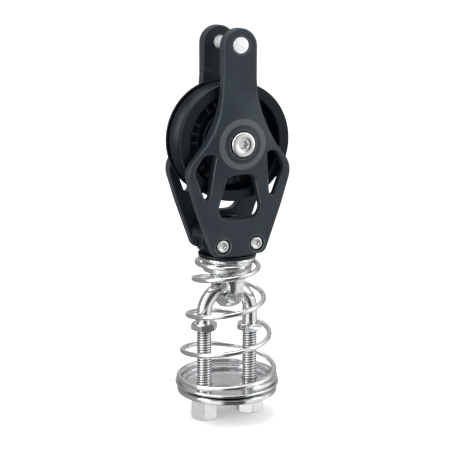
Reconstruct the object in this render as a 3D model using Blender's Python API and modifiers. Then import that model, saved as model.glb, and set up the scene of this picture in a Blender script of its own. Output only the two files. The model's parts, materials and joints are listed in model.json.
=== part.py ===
"""Single sheave block on a spring stand-up base, built as an assembly of separate parts.

Metres, +Z up. The origin is the centre of the backing plate's underside, which the block stands on between
its lock nuts. Z runs up the swivel axis, the sheave turns about Y, and the U-bolt and both side plates lie
parallel to the XZ plane.
Run it with: blender --background --python part.py
"""

import math

import bmesh
import bpy
from mathutils import Matrix

MM = 0.001
GAP = 0.3 * MM            # clearance between neighbouring parts
FIT = 0.1 * MM            # clearance of a shaft in its bore
MERGE = 0.00001

# ---- driving dimensions ----
SHEAVE_R = 22.5 * MM      # a 45 mm sheave
SHEAVE_HALF_W = 7.1 * MM
AXLE_Z = 99.1 * MM        # sheave axis above the backing plate's underside
AXLE_R = 5.0 * MM
PLATE_IN_Y = SHEAVE_HALF_W + 0.4 * MM
PLATE_T = 3.9 * MM
PLATE_OUT_Y = PLATE_IN_Y + PLATE_T
PLATE_CHAMFER = 0.7 * MM
HUB_RISE = 2.6 * MM       # rise of the domed hub over the plate's outer face
HUB_DOME_R = 19.0 * MM    # radius where the dome runs out
ARM_PAD = 0.7 * MM        # the becket arm is this much thicker on its inner side
ARM_PAD_Z = 25.4 * MM     # height over the axle where that thickening starts
BECKET_H = 36.2 * MM      # becket pin above the axle
BECKET_PIN_R = 2.4 * MM
TIE_X = 7.0 * MM          # the two small screws through the plates' lower ends
TIE_DROP = 38.6 * MM      # and how far below the axle they lie
TIE_R = 2.0 * MM
HEAD_BOTTOM_Z = 54.6 * MM
HEAD_TOP_Z = 68.6 * MM
FLANGE_R = 11.3 * MM      # round foot of the head block
FLANGE_T = 1.0 * MM
EYE_FLANGE_R = 11.1 * MM  # polished collar of the eye, which the spring bears on
EYE_FLANGE_T = 1.3 * MM
STUD_R = 3.5 * MM
WELL_Z = 63.7 * MM        # floor of the nut's well in the head block
WELL_R = 6.4 * MM
WASHER_R = 5.9 * MM
WASHER_T = 0.8 * MM
SWIVEL_NUT_AF = 10.0 * MM   # nuts are sized by their width across flats
SWIVEL_NUT_H = 2.8 * MM
TILT_Z = 41.7 * MM        # centre of the U-bolt bar at its crown
EYE_HOLE_R = 4.2 * MM
EYE_FLAT_X = 2.95 * MM
EYE_BALL_R = 9.4 * MM     # the eye's round end
EYE_BOTTOM_Z = 33.7 * MM
U_BAR_R = 2.9 * MM
U_LEG_X = 9.8 * MM
PAN_R = 20.3 * MM
PAN_T = 1.1 * MM
RIM_W = 2.7 * MM
RIM_LIFT = 1.0 * MM       # how far the pressed rim stands over the pan's floor
BACKING_R = 19.6 * MM
BACKING_T = 1.8 * MM
PAN_Z = BACKING_T + GAP   # the pan's underside
LOCK_NUT_AF = 9.8 * MM
LOCK_NUT_H = 9.8 * MM
JAM_NUT_AF = 9.4 * MM
JAM_NUT_H = 2.8 * MM
INSERT_SEAT_R = 3.9 * MM  # nylon ring's seat in a lock nut
INSERT_SEAT_H = 2.4 * MM
SPRING_WIRE_R = 1.0 * MM
SPRING_R = (18.9 * MM, 11.7 * MM)   # coil radius at the pan and under the eye's collar
SPRING_BULGE = 0.35 * MM
DISC_ROUND = 48           # sides of the two discs at the bottom
ROUND = 40                # sides of another large turned part
SMALL_ROUND = 20


# ---------------------------------------------------------------- scene and materials

def clear_scene():
    for obj in list(bpy.data.objects):
        bpy.data.objects.remove(obj, do_unlink=True)


def new_collection(name):
    collection = bpy.data.collections.new(name)
    bpy.context.scene.collection.children.link(collection)
    return collection


def material(name, colour, roughness, metallic):
    mat = bpy.data.materials.new(name)
    mat.use_nodes = True
    shader = mat.node_tree.nodes["Principled BSDF"]
    shader.inputs["Base Color"].default_value = (*colour, 1.0)
    shader.inputs["Roughness"].default_value = roughness
    shader.inputs["Metallic"].default_value = metallic
    mat.diffuse_color = (*colour, 1.0)
    return mat


clear_scene()
PARTS = new_collection("single_sheave_block")
CUTTERS = new_collection("cutters")
ANODISED = material("dark_anodised_aluminium", (0.045, 0.052, 0.058), 0.42, 0.6)
BLACK_PLASTIC = material("black_acetal", (0.012, 0.013, 0.015), 0.35, 0.0)
WHITE_PLASTIC = material("white_acetal", (0.78, 0.77, 0.72), 0.4, 0.0)
STAINLESS = material("polished_stainless", (0.72, 0.73, 0.74), 0.12, 1.0)
SPRING_STEEL = material("spring_wire_stainless", (0.70, 0.70, 0.70), 0.2, 1.0)
NYLON = material("locking_nylon", (0.10, 0.22, 0.50), 0.5, 0.0)
BEARING = material("bearing_composite", (0.30, 0.20, 0.10), 0.55, 0.0)


# ---------------------------------------------------------------- shape helpers

def add_part(name, mesh, mat):
    """A named part of the block, shaded smooth up to its sharp edges."""
    obj = bpy.data.objects.new(name, mesh)
    PARTS.objects.link(obj)
    mesh.materials.append(mat)
    mesh.shade_smooth()
    mesh.set_sharp_from_angle(angle=math.radians(35))
    return obj


def add_cutter(name, mesh):
    obj = bpy.data.objects.new(name, mesh)
    CUTTERS.objects.link(obj)
    obj.display_type = "WIRE"
    obj.hide_render = True
    return obj


def boolean(part, other_mesh, operation):
    """Cuts, joins or clips a part with a mesh, which is kept as a hidden cutter."""
    other = add_cutter(f"{part.name}_{operation.lower()}_{len(part.modifiers)}", other_mesh)
    mod = part.modifiers.new(other.name, "BOOLEAN")
    mod.operation = operation
    mod.solver = "EXACT"
    mod.object = other


def cut(part, *meshes):
    for mesh in meshes:
        boolean(part, mesh, "DIFFERENCE")
    return part


def join(part, *meshes):
    for mesh in meshes:
        boolean(part, mesh, "UNION")
    return part


def mesh_from(bm):
    mesh = bpy.data.meshes.new("shape")
    bm.to_mesh(mesh)
    bm.free()
    return mesh


def applied(obj):
    """The mesh of a helper object as its modifiers or curve settings make it; the helper is removed."""
    bpy.context.view_layer.update()
    graph = bpy.context.evaluated_depsgraph_get()
    mesh = bpy.data.meshes.new_from_object(obj.evaluated_get(graph))
    mesh.transform(obj.matrix_world)
    bpy.data.objects.remove(obj, do_unlink=True)
    bm = bmesh.new()
    bm.from_mesh(mesh)
    bmesh.ops.remove_doubles(bm, verts=bm.verts, dist=MERGE)
    bm.to_mesh(mesh)
    bm.free()
    return mesh


TURN = {
    "Z": Matrix.Identity(4),
    "-Y": Matrix.Rotation(math.radians(90), 4, "X"),
    "+Y": Matrix.Rotation(math.radians(-90), 4, "X"),
    "+X": Matrix.Rotation(math.radians(90), 4, "Y"),
}


def turned(profile, centre=(0, 0, 0), axis="Z", sides=ROUND, ring=False):
    """A lathe shape. profile lists (radius, height) down the outer side, top to bottom.

    Height counts along axis from centre. A ring's profile closes on itself; otherwise both ends lie on
    the axis. A screw modifier turns it.
    """
    bm = bmesh.new()
    verts = [bm.verts.new((radius, 0.0, height)) for radius, height in profile]
    for above, below in zip(verts, verts[1:]):
        bm.edges.new((above, below))
    if ring:
        bm.edges.new((verts[-1], verts[0]))
    helper = bpy.data.objects.new("lathe", mesh_from(bm))
    bpy.context.scene.collection.objects.link(helper)
    screw = helper.modifiers.new("lathe", "SCREW")
    screw.steps = sides
    screw.render_steps = sides
    screw.use_merge_vertices = True
    screw.merge_threshold = MERGE
    helper.matrix_world = Matrix.Translation(centre) @ TURN[axis]
    return applied(helper)


def rod(radius, top, bottom, centre=(0, 0, 0), axis="Z", sides=SMALL_ROUND):
    """A plain cylinder from height bottom to height top along axis."""
    bm = bmesh.new()
    bmesh.ops.create_cone(
        bm, cap_ends=True, segments=sides, radius1=radius, radius2=radius, depth=top - bottom
    )
    bmesh.ops.translate(bm, verts=bm.verts, vec=(0, 0, (top + bottom) / 2))
    bmesh.ops.transform(bm, verts=bm.verts, matrix=Matrix.Translation(centre) @ TURN[axis])
    return mesh_from(bm)


def rounded(corners, arc_step=15.0):
    """The points of a closed outline whose corners (x, z, fillet radius) are rounded with true arcs."""
    points = []
    count = len(corners)
    for i, (x, z, radius) in enumerate(corners):
        before = corners[i - 1]
        after = corners[(i + 1) % count]
        ax, az = before[0] - x, before[1] - z
        bx, bz = after[0] - x, after[1] - z
        la, lb = math.hypot(ax, az), math.hypot(bx, bz)
        ax, az, bx, bz = ax / la, az / la, bx / lb, bz / lb
        half = math.acos(max(-1.0, min(1.0, ax * bx + az * bz))) / 2
        tangent = radius / math.tan(half)
        away = radius / math.sin(half)
        mx, mz = (ax + bx), (az + bz)
        length = math.hypot(mx, mz)
        cx, cz = x + mx / length * away, z + mz / length * away
        start = math.atan2(z + az * tangent - cz, x + ax * tangent - cx)
        end = math.atan2(z + bz * tangent - cz, x + bx * tangent - cx)
        sweep = (end - start + math.pi) % (2 * math.pi) - math.pi
        steps = max(1, round(abs(math.degrees(sweep)) / arc_step))
        for k in range(steps + 1):
            angle = start + sweep * k / steps
            points.append((cx + radius * math.cos(angle), cz + radius * math.sin(angle)))
    return points


def mirrored(half):
    """A full outline from its right half, which runs downwards; a corner on the centre line isn't doubled."""
    return half + [(-x, z, radius) for x, z, radius in reversed(half) if x > 0]


def scaled(points):
    return [(x * MM, z * MM) for x, z in points]


def flat_outline(outlines, thickness, chamfer=0.0):
    """Outlines in x and z, the first solid and the others holes in it, extruded along Y about y = 0."""
    curve = bpy.data.curves.new("outline", "CURVE")
    curve.dimensions = "2D"
    curve.fill_mode = "BOTH"
    curve.extrude = thickness / 2 - chamfer
    curve.bevel_depth = chamfer
    curve.bevel_resolution = 0
    curve.offset = -chamfer
    for outline in outlines:
        spline = curve.splines.new("POLY")
        spline.points.add(len(outline) - 1)
        for point, (x, z) in zip(spline.points, outline):
            point.co = (x, z, 0, 1)
        spline.use_cyclic_u = True
    helper = bpy.data.objects.new("outline", curve)
    bpy.context.scene.collection.objects.link(helper)
    helper.matrix_world = TURN["-Y"]
    return applied(helper)


def hexagon(across_flats, top, bottom, bore_r, chamfer, centre, turn_deg=0.0):
    """A hexagonal nut along Z: a six-sided prism clipped by a chamfered round, with its bore cut through."""
    bm = bmesh.new()
    corner_r = across_flats / math.sqrt(3)
    bmesh.ops.create_cone(
        bm, cap_ends=True, segments=6, radius1=corner_r, radius2=corner_r, depth=top - bottom
    )
    spin = Matrix.Rotation(math.radians(turn_deg), 4, "Z")
    lift = Matrix.Translation((centre[0], centre[1], centre[2] + (top + bottom) / 2))
    bmesh.ops.transform(bm, verts=bm.verts, matrix=lift @ spin)
    flat_r = across_flats / 2
    barrel = turned(
        [
            (0, top + GAP),
            (flat_r - GAP, top + GAP),
            (corner_r + GAP, top - chamfer),
            (corner_r + GAP, bottom + chamfer),
            (flat_r - GAP, bottom - GAP),
            (0, bottom - GAP),
        ],
        centre,
        sides=36,
    )
    bore = rod(bore_r, top + 1 * MM, bottom - 1 * MM, centre)
    return mesh_from(bm), barrel, bore


# ---------------------------------------------------------------- joints' empties

def joint_empty(name, place):
    empty = bpy.data.objects.new(name, None)
    empty.empty_display_size = 0.01
    PARTS.objects.link(empty)
    empty.location = place
    return empty


def hang(child, parent):
    """Parents child to parent without moving it."""
    bpy.context.view_layer.update()
    place = child.matrix_world.copy()
    child.parent = parent
    child.matrix_parent_inverse = parent.matrix_world.inverted()
    child.matrix_world = place
    return child


# ---------------------------------------------------------------- side plates

def plate_outline():
    """Becket arm, flared flanks, shoulders and tapered foot, about the axle."""
    half = [
        (6.8, 42.4, 6.75),
        (6.8, 7.1, 42.0),
        (22.15, -9.0, 8.5),
        (17.5, -24.0, 60.0),
        (10.7, -42.5, 3.2),
        (0.0, -43.3, 40.0),
    ]
    return scaled(rounded(mirrored(half)))


def side_window(side):
    corners = [(10.4, -3.4, 1.2), (14.6, -3.3, 3.0), (18.4, -9.6, 3.4), (12.9, -24.0, 1.2)]
    if side < 0:
        corners = [(-x, z, radius) for x, z, radius in reversed(corners)]
    return scaled(rounded(corners))


def middle_window():
    half = [(5.2, -11.7, 3.6), (9.9, -28.6, 4.2)]
    return scaled(rounded(mirrored(half)))


def dome(x, z):
    """Height of the hub's dome over the plate's outer face."""
    share = min(1.0, math.hypot(x, z) / HUB_DOME_R)
    return HUB_RISE * (1 - share * share) ** 1.5 if share < 1 else 0.0


def slice_grid(bm, step, reach):
    """Cuts the plate's outer face along a square grid, so that it can be domed."""
    bmesh.ops.dissolve_limit(bm, angle_limit=math.radians(0.5), verts=bm.verts, edges=bm.edges)
    count = int(reach / step)
    cuts = [((k * step, 0, 0), (1, 0, 0)) for k in range(-count, count + 1)]
    cuts += [((0, 0, k * step), (0, 0, 1)) for k in range(-count, count + 1)]
    for place, normal in cuts:
        slice_faces(bm, [face for face in bm.faces if face.normal.y < -0.9], place, normal)


def slice_faces(bm, faces, place, normal):
    verts = {vert for face in faces for vert in face.verts}
    edges = {edge for face in faces for edge in face.edges}
    geometry = list(verts) + list(edges) + list(faces)
    bmesh.ops.bisect_plane(bm, geom=geometry, dist=MERGE, plane_co=place, plane_no=normal)


def plate_mesh(side):
    """One side plate, with its outer face towards side * Y."""
    windows = [side_window(1), side_window(-1), middle_window()]
    mesh = flat_outline([plate_outline()] + windows, PLATE_T, PLATE_CHAMFER)
    bm = bmesh.new()
    bm.from_mesh(mesh)
    slice_grid(bm, HUB_DOME_R / 4, HUB_DOME_R)
    for rise in (0, ARM_PAD):
        slice_faces(bm, bm.faces[:], (0, 0, ARM_PAD_Z + rise), (0, 0, 1))
    for vert in bm.verts:
        x, y, z = vert.co
        if y < 0:
            vert.co.y = y - dome(x, z)
        elif z > ARM_PAD_Z + MERGE:
            vert.co.y = y + ARM_PAD
    middle = (PLATE_IN_Y + PLATE_OUT_Y) / 2
    bmesh.ops.translate(bm, verts=bm.verts, vec=(0, -middle, AXLE_Z))
    if side > 0:
        bmesh.ops.scale(bm, verts=bm.verts, vec=(1, -1, 1))
        bmesh.ops.reverse_faces(bm, faces=bm.faces)
    bm.to_mesh(mesh)
    bm.free()
    return mesh


def side_plate(name, side):
    """A side plate with its axle socket, screw seats and becket hole cut in it."""
    out = "-Y" if side < 0 else "+Y"
    plate = add_part(name, plate_mesh(side), ANODISED)
    far = PLATE_OUT_Y + 5 * MM
    axle = (0, 0, AXLE_Z)
    cut(
        plate,
        rod(AXLE_R + GAP, AXLE_SEAT_Y, 0, axle, out, ROUND),
        rod(AXLE_SCREW_R + GAP, far, 0, axle, out),
        rod(AXLE_HEAD_R + 2 * GAP, far, AXLE_HEAD_Y - GAP, axle, out, ROUND),
    )
    for x in (-TIE_X, TIE_X):
        tie = (x, 0, AXLE_Z - TIE_DROP)
        cut(
            plate,
            rod(SMALL_SCREW_R + GAP, far, 0, tie, out),
            rod(SMALL_HEAD_R + 2 * GAP, far, SMALL_HEAD_Y - GAP, tie, out),
        )
    pin = (0, 0, AXLE_Z + BECKET_H)
    cut(
        plate,
        rod(BECKET_PIN_R + FIT, far, 0, pin, out),
        rod(BECKET_HEAD_R + GAP, far, BECKET_HEAD_Y - GAP, pin, out),
    )
    return plate


# ---------------------------------------------------------------- axle, screws and pins

AXLE_HEAD_R = 4.74 * MM
AXLE_HEAD_Y = 12.0 * MM           # underside of the axle screw's head
AXLE_HEAD_TOP_Y = 14.4 * MM
AXLE_SCREW_R = 2.6 * MM
AXLE_END_Y = 8.7 * MM
AXLE_SEAT_Y = AXLE_END_Y + GAP
SMALL_HEAD_R = 2.43 * MM
SMALL_HEAD_Y = 9.8 * MM
SMALL_HEAD_TOP_Y = 11.3 * MM
SMALL_SCREW_R = 1.15 * MM
BECKET_HEAD_R = 3.07 * MM
BECKET_HEAD_Y = 10.1 * MM
BECKET_HEAD_TOP_Y = 11.6 * MM
BECKET_SHAFT_END_Y = 9.7 * MM


def drive_recess(radius, depth, top, centre, axis):
    """The cutter of a six-lobe drive, its radius swinging in and out six times a turn."""
    lobes = []
    for k in range(36):
        angle = math.radians(10 * k)
        reach = radius * (0.88 + 0.12 * math.cos(6 * angle))
        lobes.append((reach * math.cos(angle), reach * math.sin(angle)))
    length = 2 * depth
    mesh = flat_outline([lobes], length)
    out = -1 if axis == "-Y" else 1
    mesh.transform(Matrix.Translation((centre[0], out * top, centre[2])))
    return mesh


def screw_part(name, head_r, under, top, shank_r, tip, centre, axis, recess):
    """A round-headed screw along axis, all heights counted from centre; recess is (radius, depth) or None."""
    edge = (top - under) * 0.22
    profile = [
        (0, top),
        (head_r - edge, top),
        (head_r, top - edge),
        (head_r, under),
        (shank_r, under),
        (shank_r, tip + edge),
        (shank_r - edge, tip),
        (0, tip),
    ]
    part = add_part(name, turned(profile, centre, axis, SMALL_ROUND), STAINLESS)
    if recess:
        cut(part, drive_recess(recess[0], recess[1], top, centre, axis))
    return part


def axle_parts():
    axle = (0, 0, AXLE_Z)
    tube = [
        (AXLE_SCREW_R + 2 * FIT, AXLE_END_Y),
        (AXLE_R, AXLE_END_Y),
        (AXLE_R, -AXLE_END_Y),
        (AXLE_SCREW_R + 2 * FIT, -AXLE_END_Y),
    ]
    parts = [add_part("axle", turned(tube, axle, "-Y", ring=True), STAINLESS)]
    for end, axis in (("front", "-Y"), ("back", "+Y")):
        parts.append(
            screw_part(
                f"axle_screw_{end}", AXLE_HEAD_R, AXLE_HEAD_Y, AXLE_HEAD_TOP_Y, AXLE_SCREW_R,
                1.5 * MM, axle, axis, (2.0 * MM, 1.6 * MM),
            )
        )
    return parts


def becket_parts():
    """A headed pin across the two arms, held from the back by a flush screw."""
    centre = (0, 0, AXLE_Z + BECKET_H)
    pin = screw_part(
        "becket_pin", BECKET_HEAD_R, BECKET_HEAD_Y, BECKET_HEAD_TOP_Y, BECKET_PIN_R,
        -BECKET_SHAFT_END_Y, centre, "-Y", None,
    )
    cut(pin, rod(1.3 * MM, BECKET_SHAFT_END_Y + 1 * MM, 2.0 * MM, centre, "+Y"))
    screw = screw_part(
        "becket_pin_screw", BECKET_HEAD_R, BECKET_HEAD_Y, BECKET_HEAD_TOP_Y, 1.2 * MM,
        3.0 * MM, centre, "+Y", (1.3 * MM, 1.0 * MM),
    )
    return [pin, screw]


def tie_parts():
    """Two threaded sleeves across the head block, each with a screw in both ends."""
    parts = []
    for hand, x in (("left", -TIE_X), ("right", TIE_X)):
        centre = (x, 0, AXLE_Z - TIE_DROP)
        end_y = PLATE_IN_Y - GAP
        bore = SMALL_SCREW_R + FIT
        tube = [(bore, end_y), (TIE_R, end_y), (TIE_R, -end_y), (bore, -end_y)]
        sleeve = turned(tube, centre, "-Y", SMALL_ROUND, ring=True)
        parts.append(add_part(f"tie_sleeve_{hand}", sleeve, STAINLESS))
        for end, axis in (("front", "-Y"), ("back", "+Y")):
            parts.append(
                screw_part(
                    f"head_screw_{end}_{hand}", SMALL_HEAD_R, SMALL_HEAD_Y, SMALL_HEAD_TOP_Y,
                    SMALL_SCREW_R, 3.0 * MM, centre, axis, (1.1 * MM, 0.9 * MM),
                )
            )
    return parts


# ---------------------------------------------------------------- sheave and its bearings

SLEEVE_R = 6.0 * MM
BALL_RING_R = 10.5 * MM
BALL_R = 1.25 * MM
BALL_COUNT = 10
BALL_W = PLATE_IN_Y - GAP - BALL_R
POCKET_FLOOR_W = BALL_W - BALL_R - GAP
POCKET_R = (BALL_RING_R - BALL_R - GAP, BALL_RING_R + BALL_R + GAP)
RIM_IN_R = 18.4 * MM
WEB_HALF_W = 3.0 * MM
GROOVE_R = 17.6 * MM
GROOVE_ARC_R = 7.4 * MM


def sheave_half():
    """The sheave's section from the bore's mouth, over the rim, to the bottom of the rope groove."""
    w = SHEAVE_HALF_W
    points = [
        (SLEEVE_R + FIT, w - 0.3 * MM),
        (POCKET_R[0], w - 0.3 * MM),
        (POCKET_R[0], POCKET_FLOOR_W),
        (POCKET_R[1], POCKET_FLOOR_W),
        (POCKET_R[1], w - 0.6 * MM),
        (POCKET_R[1] + 1.0 * MM, w - 0.6 * MM),
        (POCKET_R[1] + 1.6 * MM, WEB_HALF_W + 0.6 * MM),
        (RIM_IN_R - 1.6 * MM, WEB_HALF_W),
        (RIM_IN_R, w - 0.5 * MM),
        (RIM_IN_R + 0.5 * MM, w),
        (SHEAVE_R - 0.5 * MM, w),
        (SHEAVE_R, w - 0.5 * MM),
    ]
    lip = math.degrees(math.asin((w - 0.9 * MM) / GROOVE_ARC_R))
    for step in range(4):
        angle = math.radians(lip * (1 - step / 4))
        radius = GROOVE_R + GROOVE_ARC_R - GROOVE_ARC_R * math.cos(angle)
        points.append((radius, GROOVE_ARC_R * math.sin(angle)))
    points.append((GROOVE_R, 0.0))
    return points


def sheave_parts():
    axle = (0, 0, AXLE_Z)
    half = sheave_half()
    profile = half + [(radius, -w) for radius, w in reversed(half[:-1])]
    parts = [add_part("sheave", turned(profile, axle, "-Y", ring=True), BLACK_PLASTIC)]
    sleeve_w = SHEAVE_HALF_W - 0.4 * MM
    sleeve = [
        (AXLE_R + FIT, sleeve_w),
        (SLEEVE_R, sleeve_w),
        (SLEEVE_R, -sleeve_w),
        (AXLE_R + FIT, -sleeve_w),
    ]
    parts.append(add_part("sleeve_bearing", turned(sleeve, axle, "-Y", ring=True), BEARING))
    for end, axis in (("front", "-Y"), ("back", "+Y")):
        parts.append(ball_ring(f"thrust_bearing_{end}", axle, axis))
    return parts


def ball_ring(name, centre, axis):
    """A ring of balls held in a flat cage."""
    cage_half = 0.45 * MM
    inner, outer = POCKET_R[0] + GAP, POCKET_R[1] - GAP
    cage = [
        (inner, BALL_W + cage_half),
        (outer, BALL_W + cage_half),
        (outer, BALL_W - cage_half),
        (inner, BALL_W - cage_half),
    ]
    part = add_part(name, turned(cage, centre, axis, 24, ring=True), BLACK_PLASTIC)
    bm = bmesh.new()
    for k in range(BALL_COUNT):
        angle = 2 * math.pi * (k + 0.5) / BALL_COUNT
        place = Matrix.Translation(
            (BALL_RING_R * math.cos(angle), BALL_RING_R * math.sin(angle), BALL_W)
        )
        bmesh.ops.create_uvsphere(bm, u_segments=8, v_segments=5, radius=BALL_R, matrix=place)
    bmesh.ops.transform(bm, verts=bm.verts, matrix=Matrix.Translation(centre) @ TURN[axis])
    return join(part, mesh_from(bm))


# ---------------------------------------------------------------- head block and swivel eye

def head_block():
    """The block between the plates' feet, with sloping shoulders, a round foot and a well for the nut."""
    corners = mirrored([(6.9, -30.5, 4.0), (12.6, -34.2, 2.2), (9.4, -43.2, 0.8)])
    outline = [(x, z + AXLE_Z) for x, z in scaled(rounded(corners, 30.0))]
    part = add_part(
        "head_block", flat_outline([outline], 2 * (PLATE_IN_Y - GAP), 0.4 * MM), BLACK_PLASTIC
    )
    flange_top = HEAD_BOTTOM_Z + FLANGE_T
    neck_r = 6.5 * MM
    flange = [
        (0, flange_top + 2 * MM),
        (neck_r, flange_top + 2 * MM),
        (neck_r, flange_top),
        (FLANGE_R - 0.3 * MM, flange_top),
        (FLANGE_R, flange_top - 0.3 * MM),
        (FLANGE_R, HEAD_BOTTOM_Z),
        (0, HEAD_BOTTOM_Z),
    ]
    join(part, turned(flange))
    bore_r = STUD_R + 2 * FIT
    well = [
        (0, HEAD_TOP_Z + 1 * MM),
        (WELL_R, HEAD_TOP_Z + 1 * MM),
        (WELL_R, WELL_Z),
        (bore_r, WELL_Z),
        (bore_r, HEAD_BOTTOM_Z - 1 * MM),
        (0, HEAD_BOTTOM_Z - 1 * MM),
    ]
    cut(part, turned(well, sides=36))
    for x in (-TIE_X, TIE_X):
        cut(part, rod(TIE_R + FIT, 10 * MM, -10 * MM, (x, 0, AXLE_Z - TIE_DROP), "-Y"))
    return part


WASHER_Z = WELL_Z + GAP
SWIVEL_NUT_Z = WASHER_Z + WASHER_T + GAP
STUD_TOP_Z = SWIVEL_NUT_Z + SWIVEL_NUT_H + 0.2 * MM
EYE_BLANK_R = 14.0        # millimetres: the two flats' cutters reach out to here
EYE_FLATS = (30.1, 48.6)  # millimetres: and up from below the eye's end to here


def swivel_eye():
    """A bell-shaped eye on a stud, with flats on both sides and a flared hole for the U-bolt."""
    collar_top = HEAD_BOTTOM_Z - GAP
    collar_bottom = collar_top - EYE_FLANGE_T
    edge = 0.3 * MM
    bell = [
        (0, STUD_TOP_Z),
        (STUD_R - edge, STUD_TOP_Z),
        (STUD_R, STUD_TOP_Z - edge),
        (STUD_R, collar_top),
        (EYE_FLANGE_R - edge, collar_top),
        (EYE_FLANGE_R, collar_top - edge),
        (EYE_FLANGE_R, collar_bottom + edge),
        (EYE_FLANGE_R - edge, collar_bottom),
        (10.0 * MM, collar_bottom),
        (9.8 * MM, collar_bottom - 1.5 * MM),
        (EYE_BALL_R, collar_bottom - 5.0 * MM),
    ]
    ball_z = EYE_BOTTOM_Z + EYE_BALL_R
    steps = 7
    for k in range(steps + 1):
        angle = math.radians(90) * k / steps
        bell.append((EYE_BALL_R * math.cos(angle), ball_z - EYE_BALL_R * math.sin(angle)))
    bell[-1] = (0, EYE_BOTTOM_Z)
    part = add_part("swivel_eye", turned(bell, sides=32), STAINLESS)
    for side in (-1, 1):
        corners = [
            (EYE_FLAT_X / MM, EYE_FLATS[1], 5.0),
            (EYE_BLANK_R, EYE_FLATS[1], 0.5),
            (EYE_BLANK_R, EYE_FLATS[0], 0.5),
            (EYE_FLAT_X / MM, EYE_FLATS[0], 0.5),
        ]
        outline = [(side * x, z) for x, z in scaled(rounded(corners))]
        cut(part, flat_outline([outline[::side]], 24 * MM))
    hole_z = TILT_Z - U_BAR_R - GAP + EYE_HOLE_R
    throat, flare = 1.2 * MM, 2.4 * MM
    hole = [
        (0, 2 * EYE_FLAT_X),
        (EYE_HOLE_R + flare, 2 * EYE_FLAT_X),
        (EYE_HOLE_R, throat),
        (EYE_HOLE_R, -throat),
        (EYE_HOLE_R + flare, -2 * EYE_FLAT_X),
        (0, -2 * EYE_FLAT_X),
    ]
    return cut(part, turned(hole, (0, 0, hole_z), "+X", 32))


def swivel_hardware():
    """Thrust washer and nut on the eye's stud, inside the head block."""
    bore = STUD_R + FIT
    washer_top = WASHER_Z + WASHER_T
    washer = [(bore, washer_top), (WASHER_R, washer_top), (WASHER_R, WASHER_Z), (bore, WASHER_Z)]
    parts = [add_part("swivel_washer", turned(washer, ring=True), WHITE_PLASTIC)]
    nut_top = SWIVEL_NUT_Z + SWIVEL_NUT_H
    prism, barrel, hole = hexagon(SWIVEL_NUT_AF, nut_top, SWIVEL_NUT_Z, bore, 0.5 * MM, (0, 0, 0))
    nut = add_part("swivel_nut", prism, STAINLESS)
    boolean(nut, barrel, "INTERSECT")
    parts.append(cut(nut, hole))
    return parts


# ---------------------------------------------------------------- U-bolt, nuts, pan and spring

LOCK_NUT_TOP_Z = -GAP
LEG_END_Z = LOCK_NUT_TOP_Z - LOCK_NUT_H + 0.5 * MM
JAM_NUT_Z = {"left": 27.0 * MM, "right": 24.7 * MM}
LOCK_NUT_TURN = {"left": 4.5, "right": 19.5}   # degrees
JAM_NUT_TURN = {"left": -5.5, "right": 0.0}


def wire(points, radius, resolution):
    """A round wire along points, with flat capped ends."""
    curve = bpy.data.curves.new("wire", "CURVE")
    curve.dimensions = "3D"
    curve.bevel_depth = radius
    curve.bevel_resolution = resolution
    curve.use_fill_caps = True
    spline = curve.splines.new("POLY")
    spline.points.add(len(points) - 1)
    for point, place in zip(spline.points, points):
        point.co = (*place, 1)
    helper = bpy.data.objects.new("wire", curve)
    bpy.context.scene.collection.objects.link(helper)
    return applied(helper)


def u_bolt():
    """Two legs joined by a half-round crown, whose bar's centre is the tilt axis."""
    crown_z = TILT_Z - U_LEG_X
    points = [(-U_LEG_X, 0, LEG_END_Z)]
    steps = 16
    for k in range(steps + 1):
        angle = math.pi * (1 - k / steps)
        points.append((U_LEG_X * math.cos(angle), 0, crown_z + U_LEG_X * math.sin(angle)))
    points.append((U_LEG_X, 0, LEG_END_Z))
    return add_part("u_bolt", wire(points, U_BAR_R, 4), STAINLESS)


def base_pan():
    """A pressed sheet pan: a flat floor with two holes, stepped up to a flat rim all round."""
    step_r = PAN_R - RIM_W
    edge = 0.35 * MM
    floor_top = PAN_Z + PAN_T
    rim_bottom = PAN_Z + RIM_LIFT
    rim_top = floor_top + RIM_LIFT
    section = [
        (0, floor_top),
        (step_r - RIM_LIFT, floor_top),
        (step_r, rim_top - 0.2 * MM),
        (step_r + 0.3 * MM, rim_top),
        (PAN_R - edge, rim_top),
        (PAN_R, rim_top - edge),
        (PAN_R, rim_bottom + edge),
        (PAN_R - edge, rim_bottom),
        (step_r + 0.6 * MM, rim_bottom),
        (step_r - 0.4 * MM, PAN_Z),
        (0, PAN_Z),
    ]
    return leg_holes(add_part("base_pan", turned(section, sides=DISC_ROUND), STAINLESS))


def backing_plate():
    """A plain round plate under the pan, chamfered on both edges."""
    edge = 0.3 * MM
    section = [
        (0, BACKING_T),
        (BACKING_R - edge, BACKING_T),
        (BACKING_R, BACKING_T - edge),
        (BACKING_R, edge),
        (BACKING_R - edge, 0),
        (0, 0),
    ]
    return leg_holes(add_part("backing_plate", turned(section, sides=DISC_ROUND), STAINLESS))


def leg_holes(part):
    """Cuts the two holes that the U-bolt's legs run through."""
    for x in (-U_LEG_X, U_LEG_X):
        cut(part, rod(U_BAR_R + GAP, PAN_Z + 5 * MM, -5 * MM, (x, 0, 0)))
    return part


def nut(name, across_flats, top, bottom, chamfer, centre, turn_deg=0.0):
    """A hexagonal nut on a leg of the U-bolt, its heights counted from centre."""
    prism, barrel, bore = hexagon(across_flats, top, bottom, U_BAR_R + FIT, chamfer, centre, turn_deg)
    part = add_part(name, prism, STAINLESS)
    boolean(part, barrel, "INTERSECT")
    return cut(part, bore)


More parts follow.
